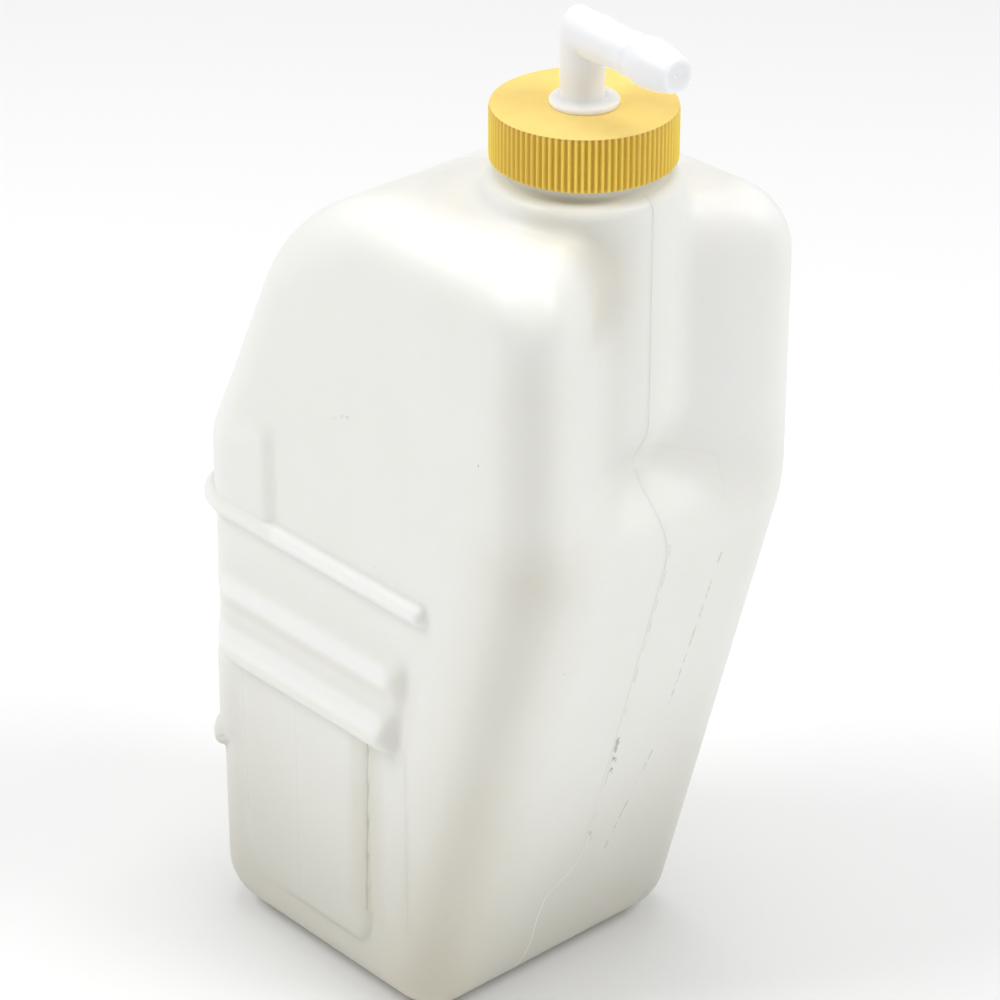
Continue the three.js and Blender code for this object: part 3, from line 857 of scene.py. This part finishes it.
    def marks(self) -> tuple[Mark, ...]:
        """Witness lines of the mould, rubs and specks, and painted shade lines down the side."""
        front, side = Face.FRONT, Face.SIDE
        return (
            Mark(front, (0, -4.2, 204.5), (0, 26.2, 194.4), 0.5, 0.035),
            Mark(front, (0, 26.2, 194.4), (0, 25.5, 181.9), 0.5, 0.035),
            Mark(front, (0, 25.3, 166.9), (0, 21.3, 102.2), 0.5, 0.42, 260.0),
            Mark(front, (0, 20.2, 85.8), (0, 9.6, 45.2), 0.5, 0.45, 240.0),
            Mark(front, (0, 1.0, 98.0), (0, 2.6, 84.0), 1.5, 0.7, 420.0),
            Mark(front, (0, -0.6, 62.0), (0, 1.2, 56.0), 1.3, 0.45, 500.0),
            Mark(front, (0, 1.0, 175.0), (0, 1.0, 60.0), 0.5, 0.25, 120.0),
            Mark(side, (13.0, 0, 203.6), (18.0, 0, 205.0), 0.8, 0.25, 700.0),
            Mark(side, (21.0, 0, 206.6), (24.0, 0, 207.4), 0.8, 0.28, 600.0),
            # Painted shade: dark lines down the side along the crease at the panel's right edge, the panel's
            # left edge, the middle of the panel and the channel's step.
            Mark(side, (30.6, 0, 99.0), (29.2, 0, 35.0), 0.4, 0.34, 0.0),
            Mark(side, (-31.6, 0, 97.0), (-30.4, 0, 44.0), 0.4, 0.14, 0.0),
            Mark(side, (-3.2, 0, 97.0), (-3.6, 0, 22.0), 0.35, 0.08, 0.0),
            Mark(side, (48.0, 0, 98.0), (48.0, 0, 36.0), 0.4, 0.08, 0.0),
        )

    def painted_shade_zones(self) -> tuple[Mark, ...]:
        """Painted shade, brown: along the front corner, beside the crease and the channel, at the ledge's
        end, under the ledge's two ridges and in the valley beside the neck column.
        """
        side, edge = Face.SIDE, Face.EDGE
        return (
            # Painted shade zones: the corner band, the crease, the ledge's end and undersides, and the neck
            # column's shaded side.
            Mark(edge, (97.0, -50.0, 236.0), (97.0, -50.0, 180.0), 20.0, 0.10),
            Mark(edge, (93.0, -47.0, 178.0), (46.0, -48.0, 2.0), 26.0, 0.34),
            Mark(side, (28.6, 0, 97.0), (27.6, 0, 38.0), 8.0, 0.20),
            Mark(side, (34.0, 0, 97.0), (33.0, 0, 34.0), 6.0, 0.16),
            Mark(side, (49.5, 0, 126.0), (45.5, 0, 101.0), 7.0, 0.08),
            Mark(side, (-45.0, 0, 119.5), (40.0, 0, 119.5), 3.0, 0.10),
            Mark(side, (-45.0, 0, 99.5), (41.0, 0, 99.5), 2.0, 0.14),
            Mark(edge, (74.0, -26.0, 285.0), (88.0, -22.0, 250.0), 15.0, 0.22),
            Mark(edge, (83.0, -18.0, 272.0), (84.0, -18.0, 258.0), 21.0, 0.38),
            Mark(edge, (91.0, -12.0, 268.0), (92.0, -12.0, 240.0), 10.0, 0.10),
        )

    def dress(self) -> None:
        """Builds and finishes the tank's pieces."""
        shell = self.build()
        # Painted highlights: the flank beside the neck column and the tops of the ledge's two ridges and of
        # the bead are painted paler.
        painted_highlight_marks = (Mark(Face.EDGE, (88.0, 34.0, 268.0), (92.0, 34.0, 212.0), 32.0, 1.0),
                Mark(Face.SIDE, (-36.0, 0, 109.5), (38.0, 0, 109.5), 5.0, 0.9),
                Mark(Face.SIDE, (-34.0, 0, 127.3), (40.0, 0, 127.3), 5.2, 0.9),
                Mark(Face.SIDE, (-9.0, 0, 155.2), (55.0, 0, 155.2), 3.6, 0.75))
        milky = MilkyPlastic("tank_milky_painted_light_and_shade", painted_shade_height=135.0, marks=self.marks(), painted_shade_zones=self.painted_shade_zones(),
                             painted_highlight_zones=painted_highlight_marks)
        fit(shell, milky, Body.TANK, "tank_body")
        seam = self.build_seam()
        fit(seam, MilkyPlastic("tank_flash", light=(0.89, 0.885, 0.84, 1.0), shade=(0.83, 0.82, 0.76, 1.0),
                               glow=0.0, roughness=0.5), Body.TANK)


# ------------------------------------------------------------------ cap

@dataclass
class ScrewCap:
    """The ribbed cap, with its thread, the seal's seat and the hole for the spout."""

    ribs: int = 90
    samples: int = 8
    crest: float = 27.5
    depth: float = 0.9
    edge: float = 0.28
    skirt: float = 288.0
    top: float = 304.6
    bore: float = 25.3
    roof: float = 302.4
    hole: float = 5.2
    seat: float = 7.6
    seat_depth: float = 1.3

    def build(self) -> bpy.types.Object:
        """One closed section carried round the axis; the grip's radius also follows the ribs.

        The rib wave is ((1 + cos) / 2)^1.3 of the angle. The groove's depth is one less the wave,
        times how far it has opened at that height, which is nothing at the top face itself.
        """
        turns = np.linspace(-np.pi, np.pi, self.ribs * self.samples + 1)[:-1]
        wave = (0.5 + 0.5 * np.cos(turns * self.ribs)) ** 1.3
        edge = np.radians(np.linspace(90.0, 8.0, 5))
        seat_z = self.top - self.seat_depth
        upper = [(self.hole, self.roof + 0.3), (self.hole, seat_z), (self.seat - 0.2, seat_z),
                 (self.seat, seat_z + 0.2), (self.seat, self.top - 0.25), (self.seat + 0.25, self.top)]
        upper += [(r, self.top) for r in (10.5, 14.0, 18.0, 22.0, 25.0, 26.2)]
        upper += [(self.crest - 0.5 + self.edge * math.cos(a), self.top - self.edge + self.edge * math.sin(a))
                  for a in edge]
        grip_z = np.concatenate([np.linspace(self.top - 0.32, self.top - 2.2, 10),
                                 np.linspace(self.top - 4.0, self.skirt + 1.2, 7),
                                 [self.skirt + 0.5, self.skirt + 0.15]])
        grip = [(self.crest, z) for z in grip_z]
        under = [(self.crest - 1.1, self.skirt), (self.bore + 0.35, self.skirt),
                 (self.bore, self.skirt + 0.35)]
        bore = [(self.bore, z) for z in np.linspace(self.skirt + 0.8, self.roof - 0.8, 34)]
        inside = [(self.bore, self.roof - 0.4), (self.bore - 0.4, self.roof), (18.0, self.roof),
                  (11.0, self.roof), (self.hole + 0.3, self.roof)]
        profile = np.array(upper + grip + under + bore + inside, float)
        profile = np.repeat(profile[:, None], len(turns), axis=1)
        rows = slice(len(upper) - len(edge), len(upper) + len(grip))
        z = profile[rows, :, 1]
        opened = ramp(self.top + 0.01, self.top - 0.7, z)
        ends = 0.45 * ramp(self.skirt + 0.6, self.skirt, z)
        shoulder = 0.2 * ramp(self.top - 1.2, self.top - 0.35, z) * (z < self.top - 0.3)
        groove = opened * (1.0 - wave[None])
        profile[rows, :, 0] -= self.depth * groove + ends + shoulder
        threads = slice(rows.stop + len(under), rows.stop + len(under) + len(bore))
        inner = ScrewThread(THREAD_START, -np.pi)
        profile[threads, :, 0] -= inner.rise(turns[None], profile[threads, :, 1])
        # Tags for the cap's colour: painted shade in the grooves, and the side kept apart from the top, which
        # is painted paler as a sheen.
        deep_painted_shade, side = np.zeros(profile.shape[:2]), np.zeros(profile.shape[:2])
        deep_painted_shade[rows] = ramp(0.15, 0.95, groove)
        side[rows] = ramp(self.top - 0.5, self.top - 2.2, z)
        side[rows.stop:] = 1.0
        return write_piece("screw_cap_moulding", ring_rows(profile, turns), wrap_rows=True, sharp=62.0,
                           tags={"groove": deep_painted_shade, "side": side})

    def dress(self) -> None:
        """Builds and finishes the cap."""
        fit(self.build(), CapPlastic(), Body.CAP, "screw_cap")


# ------------------------------------------------------------------ spout

@dataclass
class ElbowSpout:
    """Swivelling elbow: barbed spigot, flange, stem, mitred knuckle, arm, collar and hose bead.

    The bead is (radius, distance along the arm) and ends in a pinhole at the tip. `offset` moves
    the stem to one side of the cap's axis, before the elbow turns by its heading.
    """

    seat: float = 304.64
    flange: float = 10.25
    flange_rise: float = 1.7
    stem: float = 6.3
    knuckle: float = 6.85
    arm: float = 6.35
    arm_z: float = 326.6
    heading: float = -5.0
    offset: tuple[float, float] = (-0.45, -0.5)
    bore: float = 2.6
    spigot: float = 4.6
    barb: float = 3.6
    spigot_step: float = 299.3
    spigot_end: float = 281.0
    collar_at: float = 21.8
    bead: tuple[tuple[float, float], ...] = (
        (6.42, 25.4), (6.7, 26.3), (7.05, 27.6), (7.3, 29.2), (7.36, 30.8), (7.3, 32.4), (7.1, 34.4),
        (6.8, 36.6), (6.3, 38.8), (5.85, 40.6), (5.45, 41.9), (5.1, 42.55), (4.75, 42.8), (4.45, 42.7),
        (3.6, 42.45), (2.2, 42.3), (0.9, 42.25), (0.3, 42.2), (0.25, 41.6))
    fillet: float = 1.3
    bend_end: float = 9.5
    columns: int = 72

    def bend(self, radius: float, top_of_stem: Array, turns: Array, tight: float, loose: float) -> Array:
        """Each line of the tube turns from the stem into the arm on its own small arc.

        A line that stands a in front of the axis climbs to arm height - a, where the two tubes
        meet at a mitre; the corner there is an arc whose radius grows from the inside of the
        bend to its outside.

        Args:
            radius: the tube's radius.
            top_of_stem: heights from which the lines start, one for each row wanted on the stem.
            turns: angle of each line round the tube.
            tight: arc radius inside the bend.
            loose: arc radius outside the bend.

        Returns:
            (rows, columns, 3) of along-the-arm, across and z, about the stem's axis.
        """
        ahead, across = radius * np.cos(turns), radius * np.sin(turns)
        arc = tight + (loose - tight) * 0.5 * (1.0 - np.cos(turns))
        mitre = self.arm_z - ahead
        low = top_of_stem[0]
        share = (top_of_stem - low) / (top_of_stem[-1] - low)
        stem = low + share[:, None] * (mitre - arc - low)[None]
        rows = [np.stack([ahead + 0 * z, across, z], -1) for z in stem]
        for angle in np.radians(np.linspace(170.0, 90.0, 9)):
            rows.append(np.stack([ahead + arc + arc * np.cos(angle), across,
                                  mitre - arc + arc * np.sin(angle)], -1))
        for part in (0.33, 0.66, 1.0):
            rows.append(np.stack([ahead + arc + part * (self.bend_end - ahead - arc), across, mitre], -1))
        return np.array(rows)

    def along_arm(self, profile: Sequence[tuple[float, float]], turns: Array) -> Array:
        """Rings (radius, distance along the arm), in along, across and z."""
        radius, reach = np.array(profile).T[:, :, None]
        return np.stack([reach + 0.0 * turns, radius * np.sin(turns),
                         self.arm_z - radius * np.cos(turns)], -1)

    def build(self) -> bpy.types.Object:
        """One closed wall: outside from the spigot to the tip, a pinhole, then back down the bore."""
        turns = np.linspace(0.0, FULL_TURN, self.columns + 1)[:-1]
        rim = self.seat + self.flange_rise
        lower = [(self.barb - 0.5, self.spigot_end), (self.barb - 0.1, self.spigot_end + 0.3)]
        for k in range(3):
            z = self.spigot_end + 1.6 + 3.0 * k
            lower += [(self.barb, z), (self.barb - 0.28, z + 0.15), (self.barb - 0.28, z + 1.0)]
        lower += [(self.barb, self.spigot_step - 4.0), (self.barb, self.spigot_step),
                  (self.spigot, self.spigot_step + 0.2), (self.spigot, self.seat),
                  (self.flange - 0.35, self.seat)]
        lower += [(self.flange - 0.4 + 0.4 * math.cos(a), self.seat + 0.85 + 0.85 * math.sin(a))
                  for a in np.radians([-70, -35, 0, 35, 70])]
        lower += [(self.flange - 0.6, rim)]
        blend = np.linspace(0.0, np.pi / 2.0, 5)[1:]
        foot = np.stack([self.stem + self.fillet - self.fillet * np.sin(blend),
                         rim + self.fillet - self.fillet * np.cos(blend)], -1)
        base = ring_rows(np.array(lower, float), turns, (0.0, 0.0))
        foot_rings = ring_rows(foot, turns, (0.0, 0.0))
        stem_rows = np.linspace(foot[-1, 1] + 0.8, self.arm_z - 8.0, 6)
        outer = self.bend(self.knuckle, stem_rows, turns, 0.9, 5.2)
        taper = self.stem / self.knuckle
        widening = taper + (1.0 - taper) * ramp(stem_rows[0], stem_rows[-1], outer[:6, :, 2])
        outer[:6, :, :2] *= widening[..., None]
        collar = self.arm + 0.25
        sleeve = [(self.arm, 14.0), (self.arm, self.collar_at - 0.12), (collar, self.collar_at),
                  (collar + 0.02, self.collar_at + 0.8), (self.arm + 0.04, 24.6)]
        arm = self.along_arm([*sleeve, *self.bead], turns)
        back = self.along_arm([(self.bore, 38.0), (self.bore, 30.0), (self.bore, 16.0)], turns)
        bore_rows = np.linspace(self.spigot_end + 0.4, self.arm_z - 5.0, 6)
        inner = self.bend(self.bore, bore_rows, turns, 0.5, 1.2)[::-1]
        upper = np.concatenate([foot_rings, outer, arm, back, inner])
        moved = ramp(self.seat - 2.0, rim, upper[..., 2])
        upper[..., 0] += self.offset[0] * moved
        upper[..., 1] += self.offset[1] * moved
        x, y, z = np.moveaxis(np.concatenate([base, upper]), -1, 0)
        swing = math.radians(self.heading)
        points = np.stack([AXIS_X + x * math.cos(swing) - y * math.sin(swing),
                           x * math.sin(swing) + y * math.cos(swing), z], -1)
        return write_piece("elbow_spout_moulding", points, wrap_rows=True, sharp=48.0)

    def dress(self) -> None:
        """Builds and finishes the spout."""
        # Painted glow: the spout gives off light of its own (emission 0.15) to brighten its shaded stem, and
        # its colours are greyer so that its lit top stays below white.
        finish = MilkyPlastic("spout_natural_painted_glow", light=(0.73, 0.735, 0.745, 1.0),
                              shade=(0.71, 0.715, 0.725, 1.0), glow=0.9, glow_depth=5.0, roughness=0.33,
                              painted_glow=0.15)
        fit(self.build(), finish, Body.SPOUT, "elbow_spout")


@dataclass
class SealStack:
    """What sits under and in the cap: liner, spout seal and the toothed retainer.

    Each ring is inner radius, outer radius, low z and high z; the neck's rim dents the liner.
    """

    liner: tuple[float, float, float, float] = (11.5, 23.0, 299.8, 302.1)
    seal: tuple[float, float, float, float] = (4.9, 7.3, 303.6, 304.6)
    keeper: tuple[float, float, float, float] = (4.9, 9.2, 300.7, 302.1)
    rim_radius: float = 21.9

    @staticmethod
    def rounded_ring(size: Sequence[float], corner: float, turns: Array) -> Array:
        """Closed rectangular section with an arc at each corner.

        Args:
            size: inner radius, outer radius, low z and high z.
            corner: radius of the arcs.
            turns: angles that the section is repeated for.

        Returns:
            (rows, columns, 2) radius and z.
        """
        inner, outer, low, high = size
        angle = np.linspace(0.0, FULL_TURN, 25)[:-1] + np.pi / 24.0
        cos, sin = np.cos(angle), np.sin(angle)
        u = 0.5 * (inner + outer) + np.sign(cos) * (0.5 * (outer - inner) - corner) + corner * cos
        v = 0.5 * (low + high) + np.sign(sin) * (0.5 * (high - low) - corner) + corner * sin
        return np.repeat(np.stack([u, v], -1)[:, None], len(turns), axis=1)

    @staticmethod
    def place(name: str, section: Array, turns: Array, finish: "Finish", body: Body, slot: Slot,
              node: str) -> None:
        """Carries a section round the axis and fits the piece."""
        fit(write_piece(name, ring_rows(section, turns), wrap_rows=True), finish, body, node)

    def dress(self) -> None:
        """Builds and finishes the three rings."""
        turns = np.linspace(0.0, FULL_TURN, 97)[:-1]
        liner = self.rounded_ring(self.liner, 0.5, turns)
        dent = 0.12 * ramp(0.8, 0.0, np.abs(liner[..., 0] - self.rim_radius))
        liner[..., 1] += dent * (liner[..., 1] < 301.0)
        foam = MattePiece("liner_foam", (0.62, 0.64, 0.61, 1.0), (0.50, 0.52, 0.50, 1.0), 0.85, 1800.0, 0.06)
        self.place("cap_liner_disc", liner, turns, foam, Body.LINER, Slot.LINER, "cap_liner")
        seal = self.rounded_ring(self.seal, 0.45, turns)
        rubber = MattePiece("seal_rubber", (0.032, 0.033, 0.035, 1.0), (0.018, 0.018, 0.02, 1.0), 0.6,
                            1200.0, 0.02)
        self.place("spout_seal_oring", seal, turns, rubber, Body.SPOUT, Slot.SEAL, "spout_seal_ring")
        turns = np.linspace(0.0, FULL_TURN, 289)[:-1]
        keeper = self.rounded_ring(self.keeper, 0.3, turns)
        inward = ramp(7.4, 5.2, keeper[..., 0])
        sixth = np.pi / 6.0
        notch = ramp(0.055, 0.035, np.abs(np.mod(turns + sixth, 2.0 * sixth) - sixth))
        keeper[..., 0] += 2.2 * inward * notch[None]
        steel = MattePiece("spring_steel", (0.60, 0.61, 0.62, 1.0), (0.50, 0.50, 0.51, 1.0), 0.34, 900.0,
                           0.01, metallic=1.0)
        self.place("spout_retainer_ring", keeper, turns, steel, Body.SPOUT, Slot.SPRING, "spout_retainer")


@dataclass
class DipTube:
    """The soft tube from the spigot to the low rear of the tank, and the clip that holds it."""

    radius: float = 5.1
    bore: float = 3.9
    top: float = 298.7
    bend_z: float = 233.0
    clip_z: float = 288.5
    foot: tuple[float, float] = (-7.5, 8.0)

    def path(self) -> Array:
        """Straight down, then one cubic curve: (1-t)^3 A + 3(1-t)^2 t B + 3(1-t) t^2 C + t^3 D."""
        drop = np.linspace(self.top, self.bend_z, 22)[:-1]
        straight = np.stack([np.full_like(drop, AXIS_X), 0.0 * drop, drop], -1)
        t = np.linspace(0.0, 1.0, 70)[:, None]
        knots = np.array([[AXIS_X, 0, self.bend_z], [AXIS_X, 0, 150.0], [self.foot[0] + 12.0, 0, 110.0],
                          [self.foot[0], 0, self.foot[1]]])
        curve = ((1 - t) ** 3 * knots[0] + 3 * (1 - t) ** 2 * t * knots[1] + 3 * (1 - t) * t ** 2 * knots[2]
                 + t ** 3 * knots[3])
        return np.concatenate([straight, curve])

    def build(self) -> bpy.types.Object:
        """Round tube along the path, outside then back up its bore."""
        path = self.path()
        tangent = unit(np.gradient(path, axis=0))
        side = np.repeat(np.array([[0.0, 1.0, 0.0]]), len(path), 0)
        lift = np.cross(tangent, side)
        angle = np.linspace(0.0, FULL_TURN, 41)[:-1]
        circle = np.stack([np.cos(angle), np.sin(angle)], -1)
        outside = swept_rows(path, side, lift, self.radius * circle)
        inside = swept_rows(path[::-1], side, lift[::-1], self.bore * circle)
        return write_piece("dip_tube_hose", np.concatenate([outside, inside]), wrap_rows=True, sharp=60.0)

    def build_clip(self) -> bpy.types.Object:
        """Flat band carried round the tube, its two ends turned out as ears."""
        radius, gap = self.radius + 0.75, 1.9
        spread = math.asin(gap / radius)
        angle = np.linspace(np.pi + spread, 3.0 * np.pi - spread, 61)
        ring = ring_rows(np.array([[radius, self.clip_z]]), angle)[0]
        out = np.linspace(3.2, 0.0, 6)[:-1, None] * np.array([[1.0, 0.0, 0.0]])
        path = np.concatenate([ring[0] - out, ring, ring[-1] - out[::-1]])
        tangent = unit(np.gradient(path, axis=0))
        lift = np.repeat(UP[None], len(path), 0)
        side = np.cross(tangent, lift)
        corner = np.linspace(0.0, FULL_TURN, 17)[:-1] + np.pi / 16.0
        width = np.where(np.abs(path[:, 0] - AXIS_X) > radius + 0.3, 1.7, 2.5)[:, None]
        u = np.sign(np.cos(corner)) * 0.25 + 0.15 * np.cos(corner)
        v = np.sign(np.sin(corner)) * (width - 0.15) + 0.15 * np.sin(corner)
        section = np.stack([np.repeat(u[None], len(path), 0), v], -1)
        return write_piece("tube_clip_band", swept_rows(path, side, lift, section))

    def dress(self) -> None:
        """Builds and finishes the tube and its clip."""
        hose = MattePiece("tube_clear", (0.80, 0.84, 0.84, 1.0), (0.70, 0.75, 0.75, 1.0), 0.3, 300.0,
                          0.03, glow=0.6)
        fit(self.build(), hose, Body.SPOUT, "dip_tube")
        steel = MattePiece("clip_steel", (0.58, 0.58, 0.56, 1.0), (0.46, 0.46, 0.45, 1.0), 0.36, 1100.0, 0.01,
                           metallic=1.0)
        fit(self.build_clip(), steel, Body.SPOUT, "tube_clip")


# ------------------------------------------------------------------ studio

@dataclass
class Studio:
    """Pale floor, soft light from all round and the camera."""

    floor_side: float = 6.0
    floor_drop: float = 0.2
    camera_at: tuple[float, float, float] = (0.80937, -0.70280, 0.72957)
    camera_turn: float = 48.012
    camera_dip: float = 28.416
    lens: float = 139.14
    sensor: float = 36.0
    surround: float = 0.385

    def floor(self) -> None:
        """A large even sheet under the object."""
        half, low = self.floor_side / 2.0, -self.floor_drop * MM
        mesh = bpy.data.meshes.new("floor")
        corners = [(-half, -half, low), (half, -half, low), (half, half, low), (-half, half, low)]
        mesh.from_pydata(corners, [], [(0, 1, 2, 3)])
        sheet = bpy.data.objects.new("floor", mesh)
        bpy.context.scene.collection.objects.link(sheet)
        shader = Shader("floor_paper")
        tone = shader.blend(shader.noise(3.0, 2.0), (0.91, 0.91, 0.91, 1.0), (0.93, 0.93, 0.93, 1.0))
        shader.feed({"Base Color": tone, "Roughness": 0.9, "Specular IOR Level": 0.1})
        mesh.materials.append(shader.made)

    def light(self, name: str, at: Sequence[float], power: float, size: float) -> None:
        """A square soft box that faces the middle of the object."""
        lamp = bpy.data.lights.new(name, "AREA")
        lamp.shape, lamp.size, lamp.energy = "SQUARE", size, power
        box = bpy.data.objects.new(name, lamp)
        aim = Vector((0.02, 0.0, 0.15)) - Vector(at)
        box.matrix_world = Matrix.Translation(at) @ aim.to_track_quat("-Z", "Y").to_matrix().to_4x4()
        bpy.context.scene.collection.objects.link(box)

    def lights(self) -> None:
        """White surroundings and three soft boxes."""
        world = bpy.data.worlds.new("surroundings")
        bpy.context.scene.world = world
        world.use_nodes = True
        back = world.node_tree.nodes["Background"].inputs
        back["Color"].default_value = (1.0, 1.0, 1.0, 1.0)
        back["Strength"].default_value = self.surround
        self.light("key_left", (-0.80, -1.35, 2.0), 26.0, 1.2)
        self.light("fill_right", (1.50, 0.75, 1.9), 21.0, 1.1)
        self.light("top", (-0.05, 0.15, 2.3), 15.0, 1.2)

    def camera(self) -> None:
        """Camera from the front right of the featured side, looking down."""
        turn, dip = math.radians(self.camera_turn), math.radians(self.camera_dip)
        right = Vector((math.cos(turn), math.sin(turn), 0.0))
        back = Vector((math.sin(turn) * math.cos(dip), -math.cos(turn) * math.cos(dip), math.sin(dip)))
        up = back.cross(right)
        data = bpy.data.cameras.new("camera")
        data.sensor_width, data.lens = self.sensor, self.lens
        data.clip_start, data.clip_end = 0.05, 30.0
        eye = bpy.data.objects.new("camera", data)
        turned = Matrix((right, up, back)).transposed().to_4x4()
        eye.matrix_world = Matrix.Translation(self.camera_at) @ turned
        bpy.context.scene.collection.objects.link(eye)
        bpy.context.scene.camera = eye

    def set_up(self) -> None:
        """Places the floor, lights and camera."""
        self.camera()
        self.floor()
        self.lights()
        bpy.context.scene.view_settings.view_transform = "Standard"


def main() -> None:
    """Builds the studio and the bottle's pieces in order."""
    logging.basicConfig(level=logging.INFO, format="%(name)s %(message)s")
    Studio().set_up()
    ReservoirTank().dress()
    ScrewCap().dress()
    ElbowSpout().dress()
    SealStack().dress()
    DipTube().dress()


if __name__ == "__main__":
    main()
